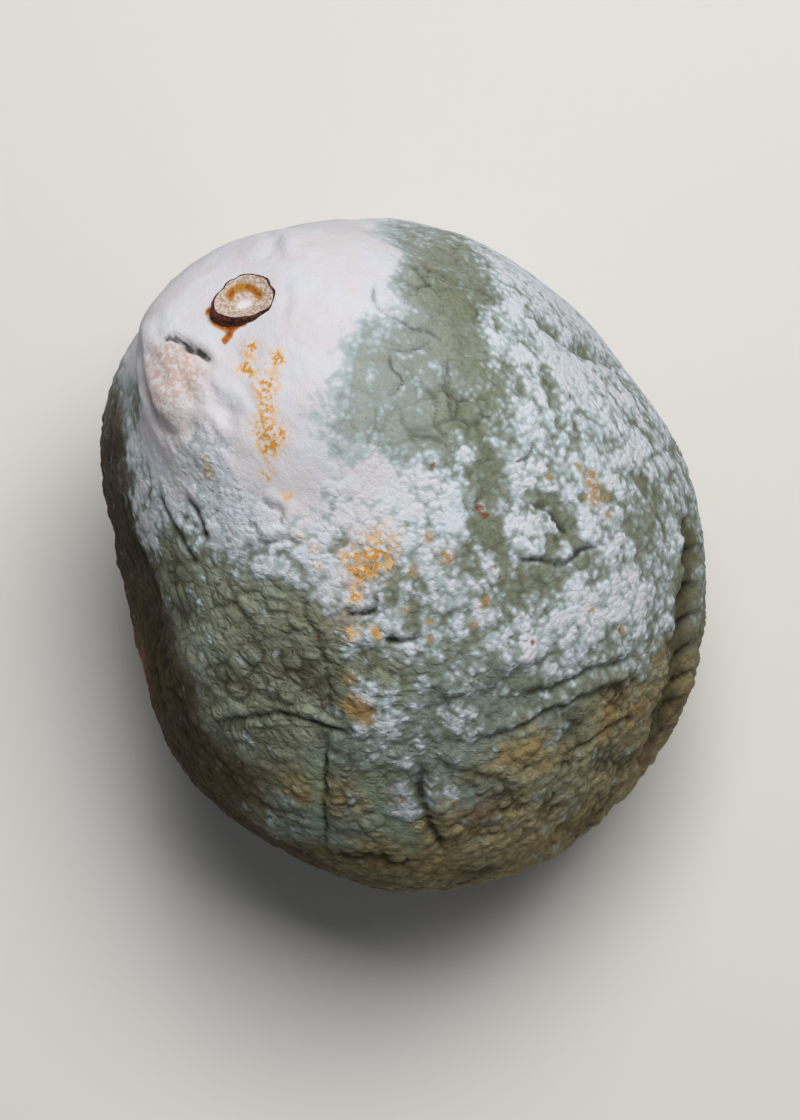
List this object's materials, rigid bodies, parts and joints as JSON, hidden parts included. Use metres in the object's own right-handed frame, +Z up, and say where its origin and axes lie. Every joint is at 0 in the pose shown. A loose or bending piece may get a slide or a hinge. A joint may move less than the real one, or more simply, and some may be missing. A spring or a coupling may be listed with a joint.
{
  "type": "mouldy lemon",
  "caption": "Whole lemon gone soft and mouldy, lying on the flat spot where it has sagged, with its neck tipped up and a woody stem button.",
  "frame": {"origin": "on the table, at the middle of the flat resting spot, straight under the fruit's middle", "axes": "+Z up from the table; +X level, towards the stem end, with the fruit's core in the XZ plane"},
  "size_m": [0.0707, 0.0625, 0.0624],
  "materials": {
    "mouldy_rind": "matte",
    "dry_stem": "matte"
  },
  "bodies": {
    "root": {"fruit": "mouldy_rind", "stem_button": "dry_stem"}
  },
  "joints": []
}
